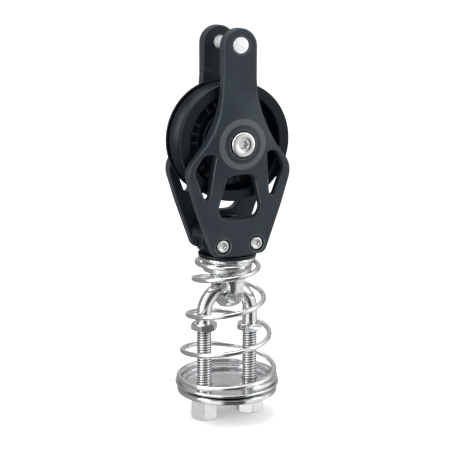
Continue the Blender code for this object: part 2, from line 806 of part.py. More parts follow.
def leg_nuts():
    """Thin jam nuts part-way up the legs, and tall lock nuts with nylon rings at their ends."""
    for hand, x in (("left", -U_LEG_X), ("right", U_LEG_X)):
        jam_half = JAM_NUT_H / 2
        jam_place = (x, 0, JAM_NUT_Z[hand])
        jam_turn = JAM_NUT_TURN[hand]
        nut(f"jam_nut_{hand}", JAM_NUT_AF, jam_half, -jam_half, 0.5 * MM, jam_place, jam_turn)
        bottom = LOCK_NUT_TOP_Z - LOCK_NUT_H
        turn_deg = LOCK_NUT_TURN[hand]
        top = LOCK_NUT_TOP_Z
        lock = nut(f"lock_nut_{hand}", LOCK_NUT_AF, top, bottom, 0.7 * MM, (x, 0, 0), turn_deg)
        insert_top = bottom + INSERT_SEAT_H
        cut(lock, rod(INSERT_SEAT_R, insert_top, bottom - 1 * MM, (x, 0, 0)))
        ring = [
            (U_BAR_R + FIT, insert_top - FIT),
            (INSERT_SEAT_R - FIT, insert_top - FIT),
            (INSERT_SEAT_R - FIT, bottom + 0.4 * MM),
            (U_BAR_R + FIT, bottom + 0.4 * MM),
        ]
        insert = turned(ring, (x, 0, 0), sides=SMALL_ROUND, ring=True)
        add_part(f"nylon_insert_{hand}", insert, NYLON)


SPRING_START_DEG = -85.0
SPRING_LENGTH_DEG = 1800.0
SPRING_RAMPS_DEG = (230.0, 450.0, 1280.0, 1700.0)   # pitch opens and closes between these
SPRING_Z = (
    PAN_Z + PAN_T + RIM_LIFT + GAP + SPRING_WIRE_R,
    HEAD_BOTTOM_Z - GAP - EYE_FLANGE_T - GAP - SPRING_WIRE_R,
)


def spring_rise(turned_deg):
    """Share of the spring's height reached: flat end turns, with smooth ramps to an even pitch between."""
    opens, full, eases, closes = SPRING_RAMPS_DEG
    total = (full - opens) / 2 + (eases - full) + (closes - eases) / 2
    t = min(max(turned_deg, opens), closes)
    height = min(t - opens, full - opens) ** 2 / (2 * (full - opens))
    height += max(0.0, min(t, eases) - full)
    if t > eases:
        past = t - eases
        height += past - past * past / (2 * (closes - eases))
    return height / total


def stand_up_spring():
    """A conical coil, closed at both ends, from the pan's rim up to the eye's collar."""
    step = 20
    points = []
    for turned_deg in range(0, int(SPRING_LENGTH_DEG) + step, step):
        share = spring_rise(turned_deg)
        radius = SPRING_R[0] + (SPRING_R[1] - SPRING_R[0]) * share
        radius += SPRING_BULGE * math.sin(math.pi * share)
        angle = math.radians(SPRING_START_DEG + turned_deg)
        height = SPRING_Z[0] + (SPRING_Z[1] - SPRING_Z[0]) * share
        points.append((radius * math.cos(angle), radius * math.sin(angle), height))
    return add_part("stand_up_spring", wire(points, SPRING_WIRE_R, 2), SPRING_STEEL)


# ---------------------------------------------------------------- assembly

def main():
    tilt_axis = joint_empty("toggle_tilt_axis", (0, 0, TILT_Z))
    swivel_axis = hang(joint_empty("swivel_axis", (0, 0, HEAD_BOTTOM_Z)), tilt_axis)
    sheave_axis = hang(joint_empty("sheave_axis", (0, 0, AXLE_Z)), swivel_axis)

    for part in [swivel_eye()] + swivel_hardware():
        hang(part, tilt_axis)
    fixed_to_head = [side_plate("side_plate_front", -1), side_plate("side_plate_back", 1), head_block()]
    for part in fixed_to_head + axle_parts() + becket_parts() + tie_parts():
        hang(part, swivel_axis)
    for part in sheave_parts():
        hang(part, sheave_axis)

    u_bolt()
    base_pan()
    backing_plate()
    leg_nuts()
    stand_up_spring()


main()
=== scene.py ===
"""Looks of the single sheave block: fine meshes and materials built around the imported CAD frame.

Metres, +Z up, in the CAD's own frame. Places and main sizes are read from the frame's nodes and joints.
"""

import functools
import json
import math

import bmesh
import bpy
from mathutils import Matrix, Vector


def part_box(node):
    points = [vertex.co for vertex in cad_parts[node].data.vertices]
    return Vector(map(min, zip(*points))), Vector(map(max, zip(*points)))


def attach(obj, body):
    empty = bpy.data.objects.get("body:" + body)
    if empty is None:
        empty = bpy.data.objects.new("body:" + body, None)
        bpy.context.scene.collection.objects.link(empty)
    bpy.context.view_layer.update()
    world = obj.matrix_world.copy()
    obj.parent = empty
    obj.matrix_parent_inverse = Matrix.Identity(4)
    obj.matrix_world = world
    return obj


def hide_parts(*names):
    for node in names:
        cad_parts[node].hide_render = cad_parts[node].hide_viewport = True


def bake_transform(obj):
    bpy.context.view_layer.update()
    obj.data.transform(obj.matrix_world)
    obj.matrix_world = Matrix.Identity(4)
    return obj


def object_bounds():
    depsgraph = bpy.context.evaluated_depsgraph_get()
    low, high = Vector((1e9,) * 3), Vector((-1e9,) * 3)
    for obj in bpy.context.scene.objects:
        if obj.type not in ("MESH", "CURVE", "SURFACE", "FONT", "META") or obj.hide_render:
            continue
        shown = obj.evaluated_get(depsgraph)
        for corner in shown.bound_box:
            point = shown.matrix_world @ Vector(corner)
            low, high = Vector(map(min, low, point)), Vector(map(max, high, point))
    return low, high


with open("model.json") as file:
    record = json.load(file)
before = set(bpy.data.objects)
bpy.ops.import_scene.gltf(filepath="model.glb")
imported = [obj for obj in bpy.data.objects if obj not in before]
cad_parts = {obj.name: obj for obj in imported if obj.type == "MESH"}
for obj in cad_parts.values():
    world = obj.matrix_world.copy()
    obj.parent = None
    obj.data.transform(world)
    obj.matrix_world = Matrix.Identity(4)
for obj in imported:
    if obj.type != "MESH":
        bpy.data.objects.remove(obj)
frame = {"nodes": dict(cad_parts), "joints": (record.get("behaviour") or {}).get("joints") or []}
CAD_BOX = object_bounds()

MM = 0.001
NODES = frame["nodes"]
JOINTS = {joint["name"]: Vector(joint["pos_m"]) for joint in frame["joints"]}
AXLE = JOINTS["sheave_spin"]
TILT = JOINTS["toggle_tilt"]


@functools.lru_cache(maxsize=None)
def box(node):
    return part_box(node)


def low(node):
    return box(node)[0]


def high(node):
    return box(node)[1]


def middle(node):
    return (low(node) + high(node)) / 2


def half_size(node):
    return (high(node) - low(node)) / 2


# ---------------------------------------------------------------- mesh helpers

TURN = {
    "Z": Matrix.Identity(4),
    "-Z": Matrix.Rotation(math.radians(180), 4, "X"),
    "-Y": Matrix.Rotation(math.radians(90), 4, "X"),
    "+Y": Matrix.Rotation(math.radians(-90), 4, "X"),
    "+X": Matrix.Rotation(math.radians(90), 4, "Y"),
}


def at(centre, axis="Z"):
    """The placement of a piece modelled about its own Z axis."""
    return Matrix.Translation(centre) @ TURN[axis]


def mesh_from(bm, name="shape"):
    mesh = bpy.data.meshes.new(name)
    bm.to_mesh(mesh)
    bm.free()
    return mesh


def rounded(corners, arc_step=9.0, closed=True):
    """Points of an outline whose corners (u, v, fillet radius) are rounded with true arcs."""
    points = []
    count = len(corners)
    for i, (u, v, radius) in enumerate(corners):
        at_end = not closed and i in (0, count - 1)
        if radius == 0 or at_end:
            points.append((u, v))
            continue
        before = corners[i - 1]
        after = corners[(i + 1) % count]
        back = Vector((before[0] - u, before[1] - v)).normalized()
        ahead = Vector((after[0] - u, after[1] - v)).normalized()
        half = back.angle(ahead) / 2
        centre = Vector((u, v)) + (back + ahead).normalized() * (radius / math.sin(half))
        tangent = radius / math.tan(half)
        first = Vector((u, v)) + back * tangent - centre
        last = Vector((u, v)) + ahead * tangent - centre
        start = math.atan2(first.y, first.x)
        sweep = (math.atan2(last.y, last.x) - start + math.pi) % (2 * math.pi) - math.pi
        steps = max(2, round(abs(math.degrees(sweep)) / arc_step))
        for k in range(steps + 1):
            angle = start + sweep * k / steps
            points.append((centre.x + radius * math.cos(angle), centre.y + radius * math.sin(angle)))
    return points


def in_mm(points):
    return [tuple(value * MM for value in point) for point in points]


def mirrored(half):
    return half + [(-u, v, radius) for u, v, radius in reversed(half) if u > 0]


def lathe(profile, sides=96, ring=False):
    """Turns (radius, height) points about Z. They run down the outer side; a ring's profile is closed."""
    bm = bmesh.new()
    loops = []
    for radius, height in profile:
        if radius < 1e-7:
            loops.append([bm.verts.new((0, 0, height))])
            continue
        angles = [2 * math.pi * k / sides for k in range(sides)]
        loops.append([bm.verts.new((radius * math.cos(a), radius * math.sin(a), height)) for a in angles])
    pairs = list(zip(loops, loops[1:]))
    if ring:
        pairs.append((loops[-1], loops[0]))
    for upper, lower in pairs:
        for k in range(sides):
            corners = [upper[k % len(upper)], lower[k % len(lower)]]
            corners += [lower[(k + 1) % len(lower)], upper[(k + 1) % len(upper)]]
            face = list(dict.fromkeys(corners))
            if len(face) > 2:
                bm.faces.new(face)
    return mesh_from(bm)


def slab(outlines, thickness, edge=0.0, edge_steps=3):
    """Outlines in x and z, the first solid and the rest holes, as a slab about y = 0 with rounded edges."""
    curve = bpy.data.curves.new("outline", "CURVE")
    curve.dimensions = "2D"
    curve.fill_mode = "BOTH"
    curve.extrude = thickness / 2 - edge
    curve.bevel_depth = edge
    curve.bevel_resolution = edge_steps
    curve.offset = -edge
    for outline in outlines:
        spline = curve.splines.new("POLY")
        spline.points.add(len(outline) - 1)
        for point, (x, z) in zip(spline.points, outline):
            point.co = (x, z, 0, 1)
        spline.use_cyclic_u = True
    helper = bpy.data.objects.new("outline", curve)
    bpy.context.scene.collection.objects.link(helper)
    helper.matrix_world = TURN["-Y"]
    return taken(helper)


def taken(helper):
    """A helper object's evaluated mesh in world space; the helper is removed."""
    bpy.context.view_layer.update()
    graph = bpy.context.evaluated_depsgraph_get()
    mesh = bpy.data.meshes.new_from_object(helper.evaluated_get(graph))
    mesh.transform(helper.matrix_world)
    bpy.data.objects.remove(helper, do_unlink=True)
    bm = bmesh.new()
    bm.from_mesh(mesh)
    bmesh.ops.remove_doubles(bm, verts=bm.verts, dist=0.000002)
    bm.to_mesh(mesh)
    bm.free()
    return mesh


def joined(meshes, places=None):
    """Several meshes in one, each moved to its place."""
    bm = bmesh.new()
    for mesh, place in zip(meshes, places or [Matrix.Identity(4)] * len(meshes)):
        moved = mesh.copy()
        moved.transform(place)
        bm.from_mesh(moved)
        bpy.data.meshes.remove(moved)
    return mesh_from(bm)


def carved(mesh, tool, operation="DIFFERENCE"):
    """The mesh cut by, joined with or clipped to a tool mesh."""
    body = bpy.data.objects.new("body", mesh)
    cutter = bpy.data.objects.new("cutter", tool)
    for obj in (body, cutter):
        bpy.context.scene.collection.objects.link(obj)
    mod = body.modifiers.new("carve", "BOOLEAN")
    mod.operation = operation
    mod.solver = "EXACT"
    mod.object = cutter
    result = taken(body)
    bpy.data.objects.remove(cutter, do_unlink=True)
    return result


def piece(name, mesh, mat, body, nodes=(), place=None, sharp_deg=32.0):
    """A shown piece: smooth up to its sharp edges, riding on a CAD body and standing for CAD nodes."""
    obj = bpy.data.objects.new(name, mesh)
    bpy.context.scene.collection.objects.link(obj)
    if place is not None:
        obj.matrix_world = place
    mesh.name = name
    mesh.materials.clear()
    mesh.materials.append(mat)
    mesh.shade_smooth()
    mesh.set_sharp_from_angle(angle=math.radians(sharp_deg))
    normals = obj.modifiers.new("even_normals", "WEIGHTED_NORMAL")
    normals.keep_sharp = True
    if body:
        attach(obj, body)
    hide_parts(*nodes)
    return obj


# ---------------------------------------------------------------- material helpers

def node(tree, kind, inputs=None, **settings):
    """Adds a shader node. inputs maps a socket's name or number to a value or to another node's output."""
    made = tree.nodes.new(kind)
    for key, value in settings.items():
        setattr(made, key, value)
    for key, value in (inputs or {}).items():
        if isinstance(value, bpy.types.NodeSocket):
            tree.links.new(value, made.inputs[key])
        else:
            made.inputs[key].default_value = value
    return made


def new_material(name, roughness, metallic, **inputs):
    mat = bpy.data.materials.new(name)
    mat.use_nodes = True
    shader = mat.node_tree.nodes["Principled BSDF"]
    shader.inputs["Roughness"].default_value = roughness
    shader.inputs["Metallic"].default_value = metallic
    for key, value in inputs.items():
        shader.inputs[key.replace("_", " ")].default_value = value
    return mat, mat.node_tree, shader


def place_of(tree):
    return node(tree, "ShaderNodeTexCoord").outputs["Object"]


def noise(tree, scale, detail=4.0):
    """Noise over the piece's own coordinates."""
    inputs = {"Vector": place_of(tree), "Scale": scale, "Detail": detail}
    made = node(tree, "ShaderNodeTexNoise", inputs)
    return made.outputs["Fac"]


def calc(tree, operation, a, b=0.0):
    return node(tree, "ShaderNodeMath", {0: a, 1: b}, operation=operation).outputs[0]


def spread(tree, value, from_low, from_high, to_low, to_high, smooth=False):
    kind = "SMOOTHSTEP" if smooth else "LINEAR"
    inputs = {"Value": value, 1: from_low, 2: from_high, 3: to_low, 4: to_high}
    return node(tree, "ShaderNodeMapRange", inputs, interpolation_type=kind).outputs[0]


def blend_colour(tree, share, first, second):
    made = node(tree, "ShaderNodeMix", data_type="RGBA")
    for socket, value in ((made.inputs[0], share), (made.inputs[6], first), (made.inputs[7], second)):
        if isinstance(value, bpy.types.NodeSocket):
            tree.links.new(value, socket)
        elif isinstance(value, tuple):
            socket.default_value = (*value, 1.0)
        else:
            socket.default_value = value
    return made.outputs[2]


def distance_from_axis(tree, axis):
    """Distance of a point from the piece's own axis X, Y or Z."""
    flat = {"X": (0, 1, 1), "Y": (1, 0, 1), "Z": (1, 1, 0)}[axis]
    kept = node(tree, "ShaderNodeVectorMath", {0: place_of(tree), 1: flat}, operation="MULTIPLY").outputs[0]
    return node(tree, "ShaderNodeVectorMath", {0: kept}, operation="LENGTH").outputs["Value"]


def rings(tree, axis, pitch):
    """Fine turning marks round an axis, uneven like a real tool's."""
    wobble = calc(tree, "MULTIPLY", noise(tree, 900.0, 2.0), pitch * 1.2)
    along = calc(tree, "ADD", distance_from_axis(tree, axis), wobble)
    return calc(tree, "SINE", calc(tree, "MULTIPLY", along, 2 * math.pi / pitch))


def edge_share(tree, radius):
    """0 on open faces, rising towards 1 along convex and concave edges."""
    soft = node(tree, "ShaderNodeBevel", {"Radius": radius}, samples=6).outputs[0]
    hard = node(tree, "ShaderNodeNewGeometry").outputs["Normal"]
    same = node(tree, "ShaderNodeVectorMath", {0: soft, 1: hard}, operation="DOT_PRODUCT").outputs["Value"]
    return spread(tree, same, 1.0, 0.86, 0.0, 1.0)


def set_bump(tree, shader, height, strength, distance):
    made = node(tree, "ShaderNodeBump", {"Height": height, "Strength": strength, "Distance": distance})
    tree.links.new(made.outputs["Normal"], shader.inputs["Normal"])


# ---------------------------------------------------------------- materials

COOL_SHEEN = (0.82, 0.93, 1.0, 1.0)
SLATE = (0.012, 0.017, 0.022)
SLATE_LIGHT = (0.016, 0.022, 0.027)
# Pale edge colour for the plates: part wear, part a painted highlight along the rounded edges.
SLATE_EDGE_WEAR_AND_HIGHLIGHT = (0.26, 0.275, 0.28)
RING_GREY = (0.056, 0.062, 0.062)
RING_RADII = (7.3 * MM, 9.5 * MM)
INNER_FACE_Y = 7.9 * MM
POLISHED_TINT = (0.80, 0.81, 0.82)
TURNED_TINT = (0.83, 0.84, 0.84)


def anodised_material():
    """Hard-anodised forging: a slate satin with fine blasted grain, edges paler with wear and a painted
    highlight, inner faces darkened with painted shade, and a plain grey ring.
    """
    mat, tree, shader = new_material(
        "anodised_forging", 0.4, 0.0, Specular_IOR_Level=0.34, Specular_Tint=COOL_SHEEN
    )
    cloud = spread(tree, noise(tree, 90.0, 3.0), 0.35, 0.65, 0.0, 1.0)
    colour = blend_colour(tree, cloud, SLATE, SLATE_LIGHT)
    radius = distance_from_axis(tree, "Y")
    inside = spread(tree, radius, RING_RADII[0] - 0.1 * MM, RING_RADII[0] + 0.1 * MM, 0.0, 1.0)
    outside = spread(tree, radius, RING_RADII[1] - 0.1 * MM, RING_RADII[1] + 0.1 * MM, 1.0, 0.0)
    facing = node(tree, "ShaderNodeSeparateXYZ", {0: node(tree, "ShaderNodeNewGeometry").outputs["Normal"]})
    outer_face = spread(tree, calc(tree, "ABSOLUTE", facing.outputs["Y"]), 0.80, 0.90, 0.0, 1.0)
    band = calc(tree, "MULTIPLY", calc(tree, "MULTIPLY", inside, outside), outer_face)
    colour = blend_colour(tree, band, colour, RING_GREY)
    # Painted shade: the plates' inner faces are darkened towards black, as if in shadow between the two
    # plates.
    reach = calc(tree, "ABSOLUTE", node(tree, "ShaderNodeSeparateXYZ", {0: place_of(tree)}).outputs["Y"])
    inner_face_shade = spread(tree, reach, INNER_FACE_Y - 0.3 * MM, INNER_FACE_Y + 0.2 * MM, 0.62, 0.0)
    colour = blend_colour(tree, inner_face_shade, colour, (0.0, 0.0, 0.0))
    # Paler edges: patchy wear plus a painted highlight, as if the rounded edges caught the light.
    patchy = spread(tree, noise(tree, 500.0), 0.3, 0.7, 0.4, 0.85)
    edge_wear_and_highlight = calc(tree, "MULTIPLY", edge_share(tree, 0.45 * MM), patchy)
    colour = blend_colour(tree, edge_wear_and_highlight, colour, SLATE_EDGE_WEAR_AND_HIGHLIGHT)
    tree.links.new(colour, shader.inputs["Base Color"])
    grain = noise(tree, 3200.0, 3.0)
    tree.links.new(spread(tree, grain, 0.2, 0.8, 0.36, 0.50), shader.inputs["Roughness"])
    set_bump(tree, shader, grain, 0.35, 0.03 * MM)
    return mat


def black_plastic_material():
    """Moulded black acetal: deep, slightly glossy, with faint flow marks and a painted highlight along its
    edges.
    """
    mat, tree, shader = new_material(
        "black_acetal_moulding", 0.36, 0.0, Specular_IOR_Level=0.27, Specular_Tint=COOL_SHEEN
    )
    flow = spread(tree, noise(tree, 140.0, 4.0), 0.3, 0.7, 0.0, 1.0)
    colour = blend_colour(tree, flow, (0.0012, 0.0025, 0.0042), (0.0025, 0.0045, 0.007))
    # Painted highlight: edges, such as the flange lip and rib edges, are lightened towards pale grey, as if
    # catching the light.
    tree.links.new(blend_colour(tree, edge_share(tree, 0.3 * MM), colour, (0.12, 0.135, 0.15)),
                   shader.inputs["Base Color"])
    tree.links.new(spread(tree, noise(tree, 1500.0, 3.0), 0.3, 0.7, 0.30, 0.42), shader.inputs["Roughness"])
    set_bump(tree, shader, noise(tree, 2500.0, 2.0), 0.12, 0.02 * MM)
    return mat


def polished_material(name, roughness=0.09):
    """Electropolished stainless: mirror bright, with faint waviness and handling smears."""
    mat, tree, shader = new_material(name, roughness, 1.0)
    smear = spread(tree, noise(tree, 260.0, 4.0), 0.35, 0.7, 0.0, 1.0)
    darker = tuple(value * 0.90 for value in POLISHED_TINT)
    tree.links.new(blend_colour(tree, smear, POLISHED_TINT, darker), shader.inputs["Base Color"])
    tree.links.new(spread(tree, smear, 0.0, 1.0, roughness, roughness + 0.07), shader.inputs["Roughness"])
    set_bump(tree, shader, noise(tree, 700.0, 2.0), 0.10, 0.02 * MM)
    return mat


def satin_pin_material():
    """The becket pin: satin steel, part dull, so its shank still shows light between the two dark arms."""
    mat = polished_material("satin_pin_steel", 0.24)
    mat.node_tree.nodes["Principled BSDF"].inputs["Metallic"].default_value = 0.55
    return mat


def threaded_material():
    """The U-bolt's polished bar, with painted shade in the thread roots below the jam nuts."""
    mat = polished_material("threaded_stainless")
    tree = mat.node_tree
    shader = tree.nodes["Principled BSDF"]
    along = node(tree, "ShaderNodeSeparateXYZ", {0: place_of(tree)})
    off_leg = calc(tree, "SUBTRACT", calc(tree, "ABSOLUTE", along.outputs["X"]), LEG_X)
    across = node(tree, "ShaderNodeCombineXYZ", {0: off_leg, 1: along.outputs["Y"]}).outputs[0]
    radius = node(tree, "ShaderNodeVectorMath", {0: across}, operation="LENGTH").outputs["Value"]
    # Painted shade: the thread roots below the jam nuts are darkened towards near black, as if in shadow.
    root = spread(tree, radius, BAR_R - 0.34 * MM, BAR_R - 0.06 * MM, 0.72, 0.0)
    below = spread(tree, along.outputs["Z"], low("jam_nut_left").z, high("jam_nut_left").z, 1.0, 0.0)
    clean = shader.inputs["Base Color"].links[0].from_socket
    root_shade = blend_colour(tree, calc(tree, "MULTIPLY", root, below), clean, (0.05, 0.052, 0.055))
    tree.links.new(root_shade, shader.inputs["Base Color"])
    return mat


def machined_material(name, axis, pitch, roughness=0.26):
    """Stainless left as turned: satin, with fine marks round its own axis."""
    mat, tree, shader = new_material(name, roughness, 1.0)
    marks = rings(tree, axis, pitch)
    darker = tuple(value * 0.78 for value in TURNED_TINT)
    tree.links.new(blend_colour(tree, spread(tree, marks, -1.0, 1.0, 0.0, 1.0), TURNED_TINT, darker),
                   shader.inputs["Base Color"])
    tree.links.new(spread(tree, noise(tree, 1200.0), 0.3, 0.7, roughness - 0.05, roughness + 0.08),
                   shader.inputs["Roughness"])
    set_bump(tree, shader, marks, 0.35, 0.02 * MM)
    return mat


def plain_plastic_material(name, colour, darker, roughness):
    """A small bearing or insert plastic with a mottled body and a fine moulded skin."""
    mat, tree, shader = new_material(name, roughness, 0.0)
    tree.links.new(blend_colour(tree, noise(tree, 700.0), colour, darker), shader.inputs["Base Color"])
    set_bump(tree, shader, noise(tree, 2600.0, 2.0), 0.2, 0.02 * MM)
    return mat


BAR_R = half_size("u_bolt").y
LEG_X = half_size("u_bolt").x - BAR_R
ANODISED = anodised_material()
BLACK = black_plastic_material()
THREADED = threaded_material()
POLISHED = polished_material("polished_stainless")
DRAWN = polished_material("bright_drawn_wire", 0.13)
SATIN_PIN = satin_pin_material()
SCREW_FACE = machined_material("turned_stainless", "Z", 0.32 * MM)
EYE_STEEL = machined_material("machined_eye_steel", "X", 0.55 * MM, 0.17)
WHITE_ACETAL = plain_plastic_material("white_acetal_washer", (0.80, 0.79, 0.74), (0.70, 0.69, 0.64), 0.35)
NYLON = plain_plastic_material("blue_locking_nylon", (0.10, 0.22, 0.50), (0.07, 0.16, 0.40), 0.5)
SLEEVE = plain_plastic_material("bearing_composite", (0.30, 0.20, 0.10), (0.22, 0.14, 0.07), 0.55)


# ---------------------------------------------------------------- side plates

PLATE_IN_Y = 7.5 * MM
PLATE_T = 3.9 * MM
PLATE_OUT_Y = PLATE_IN_Y + PLATE_T
PLATE_EDGE = 0.8 * MM
HUB_RISE = 2.6 * MM
HUB_DOME_R = 19.0 * MM
ARM_PAD_Z = 25.4 * MM
ARM_PAD = 0.7 * MM
FACE_CELL = 1.0 * MM
PIN_Z = middle("becket_pin").z - AXLE.z
TIE_Z = middle("tie_sleeve_left").z - AXLE.z
TIE_X = middle("tie_sleeve_right").x


def plate_outlines():
    """Becket arm, flared flanks, shoulders and tapered foot, with three windows, about the axle."""
    half = [
        (6.8, 42.4, 6.75), (6.8, 7.1, 42.0), (22.15, -9.0, 8.5), (17.5, -24.0, 60.0),
        (10.7, -42.5, 3.2), (0.0, -43.3, 40.0),
    ]
    side = [(10.4, -3.4, 1.2), (14.6, -3.3, 3.0), (18.4, -9.6, 3.4), (12.9, -24.0, 1.2)]
    other_side = [(-x, z, radius) for x, z, radius in reversed(side)]
    centre = [(5.2, -11.7, 3.6), (9.9, -28.6, 4.2)]
    loops = [mirrored(half), side, other_side, mirrored(centre)]
    return [in_mm(rounded(loop)) for loop in loops]


def hub_dome(x, z):
    share = min(1.0, math.hypot(x, z) / HUB_DOME_R)
    return HUB_RISE * (1 - share * share) ** 1.5


def slice_outer_face(bm, place, normal):
    faces = [face for face in bm.faces if face.normal.y < -0.95]
    parts = {vert for face in faces for vert in face.verts}
    parts |= {edge for face in faces for edge in face.edges}
    bmesh.ops.bisect_plane(bm, geom=list(parts) + faces, dist=0.000002, plane_co=place, plane_no=normal)


def plate_blank():
    """The forging before machining: its outer face towards -Y, domed round the axle."""
    bm = bmesh.new()
    bm.from_mesh(slab(plate_outlines(), PLATE_T, PLATE_EDGE))
    bmesh.ops.dissolve_limit(bm, angle_limit=math.radians(0.5), verts=bm.verts, edges=bm.edges)
    across = range(-22, 23)
    along = range(-44, 43)
    for k in across:
        slice_outer_face(bm, (k * FACE_CELL, 0, 0), (1, 0, 0))
    for k in along:
        slice_outer_face(bm, (0, 0, k * FACE_CELL), (0, 0, 1))
    for rise in (0, ARM_PAD):
        geometry = bm.verts[:] + bm.edges[:] + bm.faces[:]
        bmesh.ops.bisect_plane(
            bm, geom=geometry, dist=0.000002, plane_co=(0, 0, ARM_PAD_Z + rise), plane_no=(0, 0, 1)
        )
    for vert in bm.verts:
        if vert.co.y < 0:
            vert.co.y -= hub_dome(vert.co.x, vert.co.z)
        elif vert.co.z > ARM_PAD_Z + 0.01 * MM:
            vert.co.y += ARM_PAD
    bmesh.ops.translate(bm, verts=bm.verts, vec=(0, -(PLATE_IN_Y + PLATE_OUT_Y) / 2, 0))
    return mesh_from(bm)


def stepped_bore(steps, mouth, chamfer):
    """A cutter for a bore with seats: steps lists (radius, depth) outward, and the mouth is chamfered."""
    far = mouth + 3 * MM
    last = steps[-1][0]
    profile = [(0, far), (last + chamfer + 3 * MM, far), (last, mouth - chamfer)]
    for (radius, depth), (inner, _) in zip(reversed(steps), list(reversed(steps))[1:]):
        profile += [(radius, depth), (inner, depth)]
    profile += [(steps[0][0], steps[0][1]), (0, steps[0][1])]
    return lathe(profile, 72)


def plate_bores():
    """The axle socket and screw seat, the two small screws' seats and the becket pin's hole."""
    axle_screw = high("axle_screw_front").x
    small = half_size("head_screw_front_left").x
    pin_head = half_size("becket_pin").x
    axle_r = half_size("axle").x
    hub_top = PLATE_OUT_Y + hub_dome(axle_screw, 0)
    axle_steps = [
        (axle_r + 0.05 * MM, 0), (axle_r + 0.051 * MM, 9.0 * MM), (axle_screw + 0.45 * MM, 11.6 * MM)
    ]
    tie_bore = stepped_bore([(1.4 * MM, 0), (small + 0.55 * MM, 9.5 * MM)], PLATE_OUT_Y, 0.3 * MM)
    bores = [
        stepped_bore(axle_steps, hub_top, 0.3 * MM),
        tie_bore,
        tie_bore,
        stepped_bore([(2.5 * MM, 0), (pin_head + 0.3 * MM, 9.8 * MM)], PLATE_OUT_Y, 0.25 * MM),
    ]
    spots = [(0, 0, 0), (-TIE_X, 0, TIE_Z), (TIE_X, 0, TIE_Z), (0, 0, PIN_Z)]
    return joined(bores, [at(spot, "-Y") for spot in spots])


def side_plates():
    front = carved(plate_blank(), plate_bores())
    back = front.copy()
    back.transform(Matrix.Rotation(math.pi, 4, "Z"))
    for name, mesh in (("front", front), ("back", back)):
        node_name = f"side_plate_{name}"
        piece(f"{node_name}_forging", mesh, ANODISED, "block", [node_name], at(AXLE))


# ---------------------------------------------------------------- screws and pins

def six_lobe(radius, depth):
    """A six-lobe drive recess as a cutter standing on z = -depth."""
    lobes = []
    for k in range(72):
        angle = math.radians(5 * k)
        reach = radius * (0.87 + 0.13 * math.cos(6 * angle))
        lobes.append((reach * math.cos(angle), reach * math.sin(angle)))
    mesh = slab([lobes], 2 * depth)
    mesh.transform(TURN["+Y"])
    return mesh


def headed(head_r, head_h, shank_r, length, dish, drive):
    """A headed screw or pin about Z with its head's top at z = 0; drive is (radius, depth) or None."""
    edge = 0.28 * head_h
    corners = [(0, -dish, 0)]
    if dish:
        corners += [(head_r * 0.48, -dish, 0.3 * MM), (head_r * 0.62, 0, 0.3 * MM)]
    corners += [
        (head_r, 0, edge),
        (head_r, -head_h, 0.1 * MM),
        (shank_r, -head_h, 0),
        (shank_r, -length, 0.2 * MM),
        (0, -length, 0),
    ]
    mesh = lathe(rounded(corners, 15.0, closed=False), 80)
    if drive:
        rim, floor_r = drive[0] + 1.15 * MM, drive[0] - 0.1 * MM
        cup = lathe([(0, 1 * MM), (rim, 1 * MM), (floor_r, -0.35 * MM), (0, -0.35 * MM)], 64)
        mesh = carved(carved(mesh, cup), six_lobe(*drive))
    return mesh


def screws_and_pins():
    for end, axis in (("front", "-Y"), ("back", "+Y")):
        names = [(f"axle_screw_{end}", 2.6 * MM, 0.3 * MM, (1.85 * MM, 1.6 * MM), 2.4 * MM)]
        names += [(f"head_screw_{end}_{hand}", 1.15 * MM, 0.2 * MM, (1.05 * MM, 0.9 * MM), 1.5 * MM)
                  for hand in ("left", "right")]
        for name, shank_r, dish, drive, head_h in names:
            place = screw_top(name, axis)
            length = 2 * half_size(name).y
            mesh = headed(half_size(name).x, head_h, shank_r, length, dish, drive)
            piece(f"{name}_turned", mesh, SCREW_FACE, "block", [name], at(place, axis))
    becket_pin()
    name = "becket_pin_screw"
    length = 2 * half_size(name).y
    mesh = headed(half_size(name).x, 1.5 * MM, 1.2 * MM, length, 0.2 * MM, (1.3 * MM, 1.0 * MM))
    piece("becket_pin_screw_turned", mesh, SCREW_FACE, "block", [name],
          at(screw_top(name, "+Y"), "+Y"))


def becket_pin():
    """A headed pin, bored and tapped at its far end for the screw that holds it."""
    length = 2 * half_size("becket_pin").y
    bore = lathe([(0, 0), (1.3 * MM, 0), (1.3 * MM, -8 * MM), (0, -8 * MM)], 32)
    bore.transform(Matrix.Translation((0, 0, 7.7 * MM - length)))
    pin = carved(headed(half_size("becket_pin").x, 1.5 * MM, 2.4 * MM, length, 0, None), bore)
    piece("becket_pin_turned", pin, SATIN_PIN, "block", ["becket_pin"],
          at(screw_top("becket_pin", "-Y"), "-Y"))


def screw_top(name, axis):
    """The middle of a screw head's outer face."""
    place = middle(name)
    place.y = low(name).y if axis == "-Y" else high(name).y
    return place


# ---------------------------------------------------------------- sheave and bearings

SHEAVE_R = half_size("sheave").x
SHEAVE_HALF_W = half_size("sheave").y
RIM_IN_R = 18.4 * MM
WEB_HALF_W = 3.0 * MM
GROOVE_R = 17.6 * MM
GROOVE_ARC_R = 7.4 * MM
BALL_RING_R = 10.5 * MM
BALL_R = 1.25 * MM
BALL_COUNT = 10
CAGE_R = (9.3, 11.75)
CAGE_HALF_T = 0.45


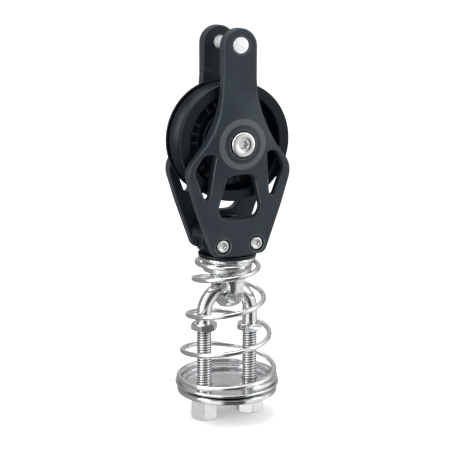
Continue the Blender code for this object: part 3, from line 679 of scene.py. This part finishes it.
def sheave_profile():
    """Half the section from the bore over the rim to the rope groove's bottom, then its mirror image."""
    w = SHEAVE_HALF_W
    pocket = (BALL_RING_R - BALL_R - 0.3 * MM, BALL_RING_R + BALL_R + 0.3 * MM)
    pocket_floor = PLATE_IN_Y - 2 * BALL_R - 0.6 * MM
    corners = [
        (6.1 * MM, w - 0.3 * MM, 0.15 * MM),
        (pocket[0], w - 0.3 * MM, 0.15 * MM),
        (pocket[0], pocket_floor, 0.15 * MM),
        (pocket[1], pocket_floor, 0.15 * MM),
        (pocket[1], w - 0.6 * MM, 0.15 * MM),
        (pocket[1] + 1.0 * MM, w - 0.6 * MM, 0.3 * MM),
        (pocket[1] + 1.6 * MM, WEB_HALF_W, 0.9 * MM),
        (RIM_IN_R - 1.4 * MM, WEB_HALF_W, 1.5 * MM),
        (RIM_IN_R, w, 0.5 * MM),
        (SHEAVE_R, w, 0.4 * MM),
        (SHEAVE_R, w - 0.9 * MM, 0.3 * MM),
    ]
    lip = math.asin((w - 0.9 * MM) / GROOVE_ARC_R)
    steps = 12
    for k in range(steps):
        angle = lip * (1 - k / steps)
        radius = GROOVE_R + GROOVE_ARC_R * (1 - math.cos(angle))
        corners.append((radius, GROOVE_ARC_R * math.sin(angle), 0))
    half = rounded(corners + [(GROOVE_R, 0, 0)], 15.0, closed=False)
    return half + [(radius, -height) for radius, height in reversed(half[:-1])]


def web_ribs():
    """Short moulded ribs standing on both sides of the web, in groups of three."""
    count = 28
    height = 0.15 * MM
    half_long, half_wide = 1.2, 0.27
    corners = [(half_long, half_wide), (-half_long, half_wide),
               (-half_long, -half_wide), (half_long, -half_wide)]
    outline = in_mm(rounded([(u, v, 0.2) for u, v in corners]))
    bar = slab([outline], 2 * height, 0.12 * MM, 1)
    bar.transform(TURN["+Y"])
    places = []
    for side in (-1, 1):
        for k in range(count):
            if k % 4 == 3:
                continue
            turn = Matrix.Rotation(2 * math.pi * k / count, 4, "Z")
            places.append(turn @ Matrix.Translation((15.2 * MM, 0, side * WEB_HALF_W)))
    return joined([bar] * len(places), places)


def sheave_pieces():
    wheel = carved(lathe(sheave_profile(), 160, ring=True), web_ribs(), "UNION")
    piece("sheave_moulding", wheel, BLACK, "sheave", ["sheave"], at(AXLE, "-Y"))
    for end, axis in (("front", "-Y"), ("back", "+Y")):
        name = f"thrust_bearing_{end}"
        height = abs(middle(name).y)
        inner, outer = CAGE_R
        section = rounded([(inner, CAGE_HALF_T, 0.12), (outer, CAGE_HALF_T, 0.12),
                           (outer, -CAGE_HALF_T, 0.12), (inner, -CAGE_HALF_T, 0.12)], 30.0)
        cage = lathe(in_mm(section), 72, ring=True)
        bm = bmesh.new()
        for k in range(BALL_COUNT):
            angle = 2 * math.pi * (k + 0.5) / BALL_COUNT
            place = Matrix.Translation((BALL_RING_R * math.cos(angle), BALL_RING_R * math.sin(angle), 0))
            bmesh.ops.create_uvsphere(bm, u_segments=20, v_segments=12, radius=BALL_R, matrix=place)
        ring = carved(cage, mesh_from(bm), "UNION")
        piece(f"{name}_balls", ring, BLACK, "sheave", [name],
              at(AXLE, axis) @ Matrix.Translation((0, 0, height)))


# ---------------------------------------------------------------- head block and swivel eye

HEAD_BOTTOM_Z = low("head_block").z
HEAD_TOP_Z = high("head_block").z
FOOT_R = half_size("head_block").y
EYE_TOP_Z = high("swivel_eye").z
EYE_FLANGE_R = half_size("swivel_eye").y
EYE_BOTTOM_Z = low("swivel_eye").z
EYE_BALL_R = 9.4 * MM
EYE_FLAT_X = 2.95 * MM
EYE_HOLE_R = 4.2 * MM
STUD_R = 3.5 * MM


def head_block():
    """The moulded block between the plates' feet, with a well for the nut and ribbed bosses at its sides."""
    outline = in_mm(rounded(mirrored([(6.9, -30.5, 4.0), (12.6, -34.2, 2.2), (9.4, -43.2, 0.8)])))
    mesh = slab([[(x, z + AXLE.z) for x, z in outline]], 2 * half_width_between_plates(), 0.6 * MM)
    foot = lathe(
        [(0, 3.0 * MM), (6.5 * MM, 3.0 * MM), (6.5 * MM, 1.0 * MM)]
        + rounded([(7.0 * MM, 1.0 * MM, 0), (FOOT_R, 1.0 * MM, 0.3 * MM), (FOOT_R, 0, 0.15 * MM), (0, 0, 0)],
                  22.0, closed=False),
    )
    foot.transform(Matrix.Translation((0, 0, HEAD_BOTTOM_Z)))
    mesh = carved(mesh, foot, "UNION")
    ridge = rounded([(0, 0.6, 0), (5.2, 0.6, 0.5), (5.2, -0.6, 0.5), (0, -0.6, 0)], 30.0, closed=False)
    rows = (-5.7 * MM, -3.2 * MM, 3.2 * MM, 5.7 * MM)
    spots = [(side * TIE_X, y, AXLE.z + TIE_Z + 1.0 * MM) for side in (-1, 1) for y in rows]
    ridges = [lathe(in_mm(ridge), 64)] * len(spots)
    mesh = carved(mesh, joined(ridges, [at(spot, "-Y") for spot in spots]), "UNION")
    well_z = low("swivel_washer").z - 0.3 * MM
    top = HEAD_TOP_Z + 1 * MM
    hole = lathe([(0, top), (6.9 * MM, top), (6.4 * MM, HEAD_TOP_Z - 0.4 * MM), (6.4 * MM, well_z),
                  (STUD_R + 0.2 * MM, well_z), (STUD_R + 0.2 * MM, HEAD_BOTTOM_Z - 1 * MM),
                  (0, HEAD_BOTTOM_Z - 1 * MM)])
    tie = lathe([(0, 10 * MM), (2.1 * MM, 10 * MM), (2.1 * MM, -10 * MM), (0, -10 * MM)], 40)
    mesh = carved(mesh, hole)
    mesh = carved(mesh, joined([tie, tie], [at((x, 0, AXLE.z + TIE_Z), "-Y") for x in (-TIE_X, TIE_X)]))
    piece("head_block_moulding", mesh, BLACK, "block", ["head_block"])


def half_width_between_plates():
    return PLATE_IN_Y - 0.3 * MM


def swivel_eye():
    """The bell-shaped eye: a stud and collar above, flats at both sides and a flared hole through them."""
    collar_top = HEAD_BOTTOM_Z - 0.3 * MM
    collar_bottom = collar_top - 1.3 * MM
    corners = [
        (0, EYE_TOP_Z, 0),
        (STUD_R, EYE_TOP_Z, 0.3 * MM),
        (STUD_R, collar_top, 0.2 * MM),
        (EYE_FLANGE_R, collar_top, 0.35 * MM),
        (EYE_FLANGE_R, collar_bottom, 0.35 * MM),
        (9.9 * MM, collar_bottom, 0.25 * MM),
        (9.75 * MM, collar_bottom - 2.0 * MM, 2.0 * MM),
        (EYE_BALL_R, collar_bottom - 5.0 * MM, 3.0 * MM),
    ]
    ball_z = EYE_BOTTOM_Z + EYE_BALL_R
    steps = 20
    for k in range(steps):
        angle = math.radians(90) * k / steps
        corners.append((EYE_BALL_R * math.cos(angle), ball_z - EYE_BALL_R * math.sin(angle), 0))
    corners.append((0, EYE_BOTTOM_Z, 0))
    mesh = lathe(rounded(corners, 15.0, closed=False), 128)
    flat = EYE_FLAT_X / MM
    top, bottom = collar_bottom / MM - 4.4, EYE_BOTTOM_Z / MM - 3.6
    half = [(flat, top, 5.0), (14.0, top, 0.5), (14.0, bottom, 0.5), (flat, bottom, 0.5)]
    for side in (-1, 1):
        outline = [(side * x, z) for x, z in in_mm(rounded(half))]
        mesh = carved(mesh, slab([outline[::side]], 26 * MM))
    hole_z = TILT.z - BAR_R - 0.3 * MM + EYE_HOLE_R
    flare = [(EYE_HOLE_R + 4.6 * MM, 6 * MM, 0), (EYE_HOLE_R + 0.05 * MM, 1.1 * MM, 2.5 * MM),
             (EYE_HOLE_R + 0.05 * MM, -1.1 * MM, 2.5 * MM), (EYE_HOLE_R + 4.6 * MM, -6 * MM, 0)]
    mouth = [(0, 6 * MM)] + rounded(flare, 6.0, closed=False) + [(0, -6 * MM)]
    hole = lathe(mouth)
    hole.transform(at((0, 0, hole_z), "+X"))
    mesh = carved(mesh, hole)
    mesh.transform(Matrix.Translation((0, 0, -hole_z)))
    piece("swivel_eye_forging", mesh, EYE_STEEL, "eye", ["swivel_eye"],
          at((0, 0, hole_z)))


def nut(across_flats, height, bore_r, chamfer, turn_deg, pocket=None):
    """A hexagon nut about Z, centred on z = 0, its corners turned down; pocket is an insert's seat below."""
    corner_r = across_flats / math.sqrt(3)
    corners = []
    for k in range(6):
        angle = math.radians(60 * k + turn_deg)
        corners.append((corner_r * math.cos(angle), corner_r * math.sin(angle), 0.3 * MM))
    prism = slab([rounded(corners, 20.0)], height + 2 * MM)
    prism.transform(TURN["+Y"])
    flat_r = across_flats / 2
    slope = corner_r - flat_r + 0.6 * MM
    top, bottom = height / 2, -height / 2
    turned_down = [
        (0, top, 0),
        (flat_r - 0.25 * MM, top, 0.15 * MM),
        (flat_r - 0.25 * MM + slope, top - chamfer, 0),
        (flat_r - 0.25 * MM + slope, bottom + chamfer, 0),
        (flat_r - 0.25 * MM, bottom, 0.15 * MM),
        (0, bottom, 0),
    ]
    mesh = carved(prism, lathe(rounded(turned_down, 20.0, closed=False)), "INTERSECT")
    mouth_r, over, under = bore_r + 1.5 * MM, top + 1 * MM, bottom - 1 * MM
    bore = lathe([(0, over), (mouth_r, over), (bore_r, top - 0.5 * MM),
                  (bore_r, bottom + 0.5 * MM), (mouth_r, under), (0, under)], 64)
    mesh = carved(mesh, bore)
    if pocket:
        radius, depth = pocket
        seat = lathe([(0, bottom + depth), (radius, bottom + depth), (radius, under), (0, under)], 64)
        mesh = carved(mesh, seat)
    return mesh


def swivel_hardware():
    name = "swivel_nut"
    mesh = nut(10.0 * MM, 2 * half_size(name).z, STUD_R + 0.1 * MM, 0.6 * MM, 0.0)
    piece("swivel_nut_turned", mesh, POLISHED, "eye", [name], at(middle(name)))
    name = "swivel_washer"
    outer, half_t = half_size(name).x, half_size(name).z
    ring = [(STUD_R + 0.1 * MM, half_t, 0.1 * MM), (outer, half_t, 0.1 * MM),
            (outer, -half_t, 0.1 * MM), (STUD_R + 0.1 * MM, -half_t, 0.1 * MM)]
    piece("swivel_washer_moulding", lathe(rounded(ring, 30.0), 72, ring=True), WHITE_ACETAL, "eye",
          [name], at(middle(name)))


# ---------------------------------------------------------------- U-bolt, nuts, pan and spring

THREAD_PITCH = 1.0 * MM
THREAD_DEPTH = 0.42 * MM
THREAD_STEP = THREAD_PITCH / 6
GROOVE_HALF_SHARE = 0.36
FADE_PITCHES = 1.5
RING_SIDES = 36


def thread_cut(z, angle, top):
    """Depth of the thread at a height and angle on a leg, fading out towards its top end."""
    turn = (z / THREAD_PITCH - angle / (2 * math.pi)) % 1.0
    groove = max(0.0, 1.0 - abs(turn - 0.5) / GROOVE_HALF_SHARE)
    fade = min(1.0, max(0.0, (top - z) / (FADE_PITCHES * THREAD_PITCH)))
    return THREAD_DEPTH * groove * fade


def sweep(rings_of_points):
    """A tube through rings of points, closed by flat caps."""
    bm = bmesh.new()
    loops = [[bm.verts.new(point) for point in ring] for ring in rings_of_points]
    count = len(loops[0])
    for first, second in zip(loops, loops[1:]):
        for k in range(count):
            bm.faces.new((first[k], first[(k + 1) % count], second[(k + 1) % count], second[k]))
    bm.faces.new(list(reversed(loops[0])))
    bm.faces.new(loops[-1])
    bmesh.ops.recalc_face_normals(bm, faces=bm.faces)
    return mesh_from(bm)


def u_bolt():
    """Two threaded legs and a smooth half-round crown, as one bent bar."""
    bottom, crown_z = low("u_bolt").z, TILT.z - LEG_X
    tops = {-1: middle("jam_nut_left").z, 1: middle("jam_nut_right").z}
    stations = []
    for side in (-1, 1):
        z, leg = bottom, []
        while z < tops[side] + 1.0 * MM:
            leg.append((side, z))
            z += THREAD_STEP
        leg += [(side, tops[side] + 1.2 * MM), (side, crown_z - 0.2 * MM)]
        stations.append(leg)
    rings_of_points = [leg_ring(side, z, bottom, tops[side]) for side, z in stations[0]]
    bends = 48
    for k in range(bends + 1):
        angle = math.pi * (1 - k / bends)
        out = Vector((math.cos(angle), 0, math.sin(angle)))
        centre = Vector((0, 0, crown_z)) + out * LEG_X
        rings_of_points.append(bar_ring(centre, out))
    rings_of_points += [leg_ring(side, z, bottom, tops[side]) for side, z in reversed(stations[1])]
    mesh = sweep(rings_of_points)
    piece("u_bolt_threaded", mesh, THREADED, "base", ["u_bolt"], sharp_deg=40.0)


def bar_ring(centre, out):
    """A circle of the bent bar: its points turn from the outward direction towards +Y."""
    points = []
    for k in range(RING_SIDES):
        angle = 2 * math.pi * k / RING_SIDES
        points.append(centre + out * (BAR_R * math.cos(angle)) + Vector((0, BAR_R * math.sin(angle), 0)))
    return points


def leg_ring(side, z, bottom, thread_top):
    points = []
    end_chamfer = max(0.0, 0.5 * MM - (z - bottom))
    for k in range(RING_SIDES):
        angle = 2 * math.pi * k / RING_SIDES
        radius = min(BAR_R - end_chamfer, BAR_R - thread_cut(z, side * angle, thread_top))
        offset = Vector((side * radius * math.cos(angle), radius * math.sin(angle), 0))
        points.append(Vector((side * LEG_X, 0, z)) + offset)
    return points


def leg_nuts():
    for hand, jam_turn, turn_deg in (("left", -5.5, 4.5), ("right", 0.0, 19.5)):
        name = f"jam_nut_{hand}"
        mesh = nut(9.4 * MM, 2 * half_size(name).z, BAR_R - 0.2 * MM, 0.75 * MM, jam_turn)
        piece(f"{name}_turned", mesh, POLISHED, "base", [name], at(nut_place(name)))
        name = f"lock_nut_{hand}"
        seat = (3.9 * MM, 2.4 * MM)
        mesh = nut(9.8 * MM, 2 * half_size(name).z, BAR_R - 0.2 * MM, 0.9 * MM, turn_deg, seat)
        piece(f"{name}_turned", mesh, POLISHED, "base", [name], at(nut_place(name)))
        name = f"nylon_insert_{hand}"
        outer, half_h = half_size(name).x, half_size(name).z
        inner = BAR_R + 0.05 * MM
        ring = [(inner, half_h, 0.1 * MM), (outer, half_h, 0.1 * MM),
                (outer, -half_h, 0.3 * MM), (inner, -half_h, 0.3 * MM)]
        piece(f"{name}_moulding", lathe(rounded(ring, 30.0), 72, ring=True), NYLON, "base",
              [name], at(middle(name)))


def nut_place(name):
    """A nut's centre: on its leg's axis, at its own height."""
    place = middle(name)
    return Vector((math.copysign(LEG_X, place.x), 0, place.z))


def leg_holes(radius):
    hole = lathe([(0, 6 * MM), (radius, 6 * MM), (radius, -6 * MM), (0, -6 * MM)], 64)
    return joined([hole, hole], [at((x, 0, 0)) for x in (-LEG_X, LEG_X)])


def base_pan():
    """A pressed pan: a flat floor stepped up to a flat rim, with holes for the legs."""
    radius, rim_top, bottom = half_size("base_pan").x, high("base_pan").z, low("base_pan").z
    floor_top, lift = bottom + 1.1 * MM, bottom + 1.0 * MM
    step_r = radius - 2.7 * MM
    corners = [
        (0, floor_top, 0),
        (step_r - 0.5 * MM, floor_top, 0.5 * MM),
        (step_r, rim_top, 0.5 * MM),
        (radius, rim_top, 0.45 * MM),
        (radius, lift, 0.4 * MM),
        (step_r + 0.5 * MM, lift, 0.5 * MM),
        (step_r, bottom, 0.5 * MM),
        (0, bottom, 0),
    ]
    mesh = carved(lathe(rounded(corners, 15.0, closed=False), 160), leg_holes(BAR_R + 0.3 * MM))
    piece("base_pan_pressing", mesh, POLISHED, "base", ["base_pan"])


def backing_plate():
    name = "backing_plate"
    radius, top, bottom = half_size(name).x, high(name).z, low(name).z
    corners = [(0, top, 0), (radius, top, 0.4 * MM), (radius, bottom, 0.4 * MM), (0, bottom, 0)]
    mesh = carved(lathe(rounded(corners, 22.0, closed=False), 160), leg_holes(BAR_R + 0.3 * MM))
    piece("backing_plate_blank", mesh, POLISHED, "base", [name])


SPRING_START_DEG = -85.0
SPRING_LENGTH_DEG = 1800.0
SPRING_RAMPS_DEG = (230.0, 450.0, 1280.0, 1700.0)
SPRING_R = (18.9 * MM, 11.7 * MM)
SPRING_BULGE = 0.35 * MM
WIRE_R = 1.0 * MM


def spring_rise(turned_deg):
    """Share of the spring's height reached: flat end turns, smooth ramps and an even pitch between."""
    opens, full, eases, closes = SPRING_RAMPS_DEG
    total = (full - opens) / 2 + (eases - full) + (closes - eases) / 2
    t = min(max(turned_deg, opens), closes)
    height = min(t - opens, full - opens) ** 2 / (2 * (full - opens)) + max(0.0, min(t, eases) - full)
    past = max(0.0, t - eases)
    return (height + past - past * past / (2 * (closes - eases))) / total


def spring_centre(turned_deg):
    share = spring_rise(turned_deg)
    radius = SPRING_R[0] + (SPRING_R[1] - SPRING_R[0]) * share + SPRING_BULGE * math.sin(math.pi * share)
    angle = math.radians(SPRING_START_DEG + turned_deg)
    bottom, top = low("stand_up_spring").z + WIRE_R, high("stand_up_spring").z - WIRE_R
    return Vector((radius * math.cos(angle), radius * math.sin(angle), bottom + (top - bottom) * share))


def stand_up_spring():
    """The conical coil between the base and the eye, built upright; nothing here bends it as the block
    leans.
    """
    step, sides = 4, 20
    rings_of_points = []
    for turned_deg in range(0, int(SPRING_LENGTH_DEG) + step, step):
        centre = spring_centre(turned_deg)
        ahead = (spring_centre(turned_deg + 1) - spring_centre(turned_deg - 1)).normalized()
        side = ahead.cross(Vector((0, 0, 1))).normalized()
        up = side.cross(ahead)
        inset = 0.12 * MM if turned_deg in (0, int(SPRING_LENGTH_DEG)) else 0.0
        ring = []
        for k in range(sides):
            angle = 2 * math.pi * k / sides
            ring.append(centre + (side * math.cos(angle) + up * math.sin(angle)) * (WIRE_R - inset))
        rings_of_points.append(ring)
    mesh = sweep(rings_of_points)
    spring = piece("stand_up_spring_coil", mesh, DRAWN, None, ["stand_up_spring"])
    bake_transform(spring)


# ---------------------------------------------------------------- CAD nodes shown as they are

def finish_cad_nodes():
    for name in ("axle", "tie_sleeve_left", "tie_sleeve_right"):
        show_with(name, SCREW_FACE)
    show_with("sleeve_bearing", SLEEVE)


def show_with(name, mat):
    mesh = NODES[name].data
    mesh.materials.clear()
    mesh.materials.append(mat)


# ---------------------------------------------------------------- stage, light and camera

def floor():
    """A wide pale floor under the nuts."""
    bm = bmesh.new()
    bmesh.ops.create_grid(bm, x_segments=8, y_segments=8, size=6.0)
    mesh = mesh_from(bm, "floor")
    obj = bpy.data.objects.new("studio_floor", mesh)
    bpy.context.scene.collection.objects.link(obj)
    obj.location.z = CAD_BOX[0].z - 0.1 * MM
    obj.visible_glossy = False
    mat, tree, shader = new_material("pale_floor", 0.9, 0.0, Specular_IOR_Level=0.1)
    tree.links.new(blend_colour(tree, noise(tree, 6.0), (0.90, 0.90, 0.90), (0.88, 0.88, 0.88)),
                   shader.inputs["Base Color"])
    shader.inputs["Emission Color"].default_value = (1.0, 1.0, 1.0, 1.0)
    shader.inputs["Emission Strength"].default_value = 0.2
    mesh.materials.append(mat)


# What bright metal mirrors all round: (degrees to the right of the viewer's side, brightness).
SURROUNDINGS = (
    (-180, 0.48), (-160, 0.42), (-140, 0.28), (-74, 0.38), (-50, 1.05), (-16, 1.05), (-4, 0.10),
    (39, 0.08), (48, 0.92), (108, 0.98), (128, 0.36), (180, 0.48),
)
OVERHEAD, UNDERNEATH = 0.82, 0.24


def studio_world():
    """White surroundings for the eye; bright metal mirrors soft panels with a dark gap near the viewer."""
    world = bpy.data.worlds.new("studio")
    bpy.context.scene.world = world
    world.use_nodes = True
    tree = world.node_tree
    direction = node(tree, "ShaderNodeTexCoord").outputs["Generated"]
    ahead = (-math.sin(VIEW_AZIMUTH), -math.cos(VIEW_AZIMUTH), 0)
    right = (math.cos(VIEW_AZIMUTH), -math.sin(VIEW_AZIMUTH), 0)
    along = node(tree, "ShaderNodeVectorMath", {0: direction, 1: ahead}, operation="DOT_PRODUCT")
    across = node(tree, "ShaderNodeVectorMath", {0: direction, 1: right}, operation="DOT_PRODUCT")
    bearing = calc(tree, "ARCTAN2", across.outputs["Value"], along.outputs["Value"])
    share = spread(tree, bearing, -math.pi, math.pi, 0.0, 1.0)
    panels = node(tree, "ShaderNodeValToRGB", {0: share})
    stops = panels.color_ramp.elements
    while len(stops) < len(SURROUNDINGS):
        stops.new(0.5)
    for stop, (degrees, brightness) in zip(stops, SURROUNDINGS):
        stop.position = (degrees + 180) / 360
        stop.color = (brightness, brightness, brightness, 1.0)
    height = node(tree, "ShaderNodeSeparateXYZ", {0: direction}).outputs["Z"]
    above = spread(tree, height, 0.40, 0.85, 0.0, 1.0, smooth=True)
    below = spread(tree, height, -0.45, -0.85, 0.0, 1.0, smooth=True)
    level = blend_colour(tree, above, panels.outputs["Color"], (OVERHEAD,) * 3)
    level = blend_colour(tree, below, level, (UNDERNEATH,) * 3)
    mirrored_ray = node(tree, "ShaderNodeLightPath").outputs["Is Glossy Ray"]
    seen = blend_colour(tree, mirrored_ray, (1.0, 1.0, 1.0), level)
    tree.links.new(seen, tree.nodes["Background"].inputs["Color"])


def soft_light(name, place, target, size, power):
    light = bpy.data.lights.new(name, "AREA")
    light.shape = "RECTANGLE"
    light.size, light.size_y = size
    light.energy = power
    obj = bpy.data.objects.new(name, light)
    bpy.context.scene.collection.objects.link(obj)
    obj.location = place
    obj.rotation_euler = (Vector(target) - Vector(place)).to_track_quat("-Z", "Y").to_euler()


def lights():
    centre = (0, 0, 0.08)
    soft_light("left_softbox", (-0.75, -0.10, 0.35), centre, (0.35, 0.8), 4.0)
    soft_light("right_softbox", (0.55, -0.45, 0.30), centre, (0.25, 0.7), 1.5)
    soft_light("top_softbox", (-0.10, 0.10, 0.80), centre, (0.7, 0.7), 4.0)


VIEW_AZIMUTH = math.radians(25.45)
VIEW_ELEVATION = math.radians(12.71)
VIEW_ROLL = math.radians(0.12)
VIEW_DISTANCE = 497.1 * MM
VIEW_SHIFT = (-0.93 * MM, -32.32 * MM)
VIEW_LENS = 105.3
VIEW_BACK = Vector((
    -math.sin(VIEW_AZIMUTH) * math.cos(VIEW_ELEVATION),
    -math.cos(VIEW_AZIMUTH) * math.cos(VIEW_ELEVATION),
    math.sin(VIEW_ELEVATION),
))


def camera():
    """A long lens to the left of the front and a little above, looking past the axle."""
    level_right = Vector((math.cos(VIEW_AZIMUTH), -math.sin(VIEW_AZIMUTH), 0))
    level_up = level_right.cross(-VIEW_BACK)
    right = math.cos(VIEW_ROLL) * level_right + math.sin(VIEW_ROLL) * level_up
    up = -math.sin(VIEW_ROLL) * level_right + math.cos(VIEW_ROLL) * level_up
    place = AXLE + VIEW_BACK * VIEW_DISTANCE + right * VIEW_SHIFT[0] + up * VIEW_SHIFT[1]
    data = bpy.data.cameras.new("camera")
    data.lens = VIEW_LENS
    data.sensor_width = 36.0
    data.clip_start = 0.01
    obj = bpy.data.objects.new("camera", data)
    bpy.context.scene.collection.objects.link(obj)
    turn = Matrix((right, up, VIEW_BACK)).transposed().to_4x4()
    obj.matrix_world = Matrix.Translation(place) @ turn
    bpy.context.scene.camera = obj


def main():
    side_plates()
    screws_and_pins()
    sheave_pieces()
    head_block()
    swivel_eye()
    swivel_hardware()
    u_bolt()
    leg_nuts()
    base_pan()
    backing_plate()
    stand_up_spring()
    finish_cad_nodes()
    floor()
    studio_world()
    lights()
    camera()
    bpy.context.scene.view_settings.view_transform = "Standard"


main()
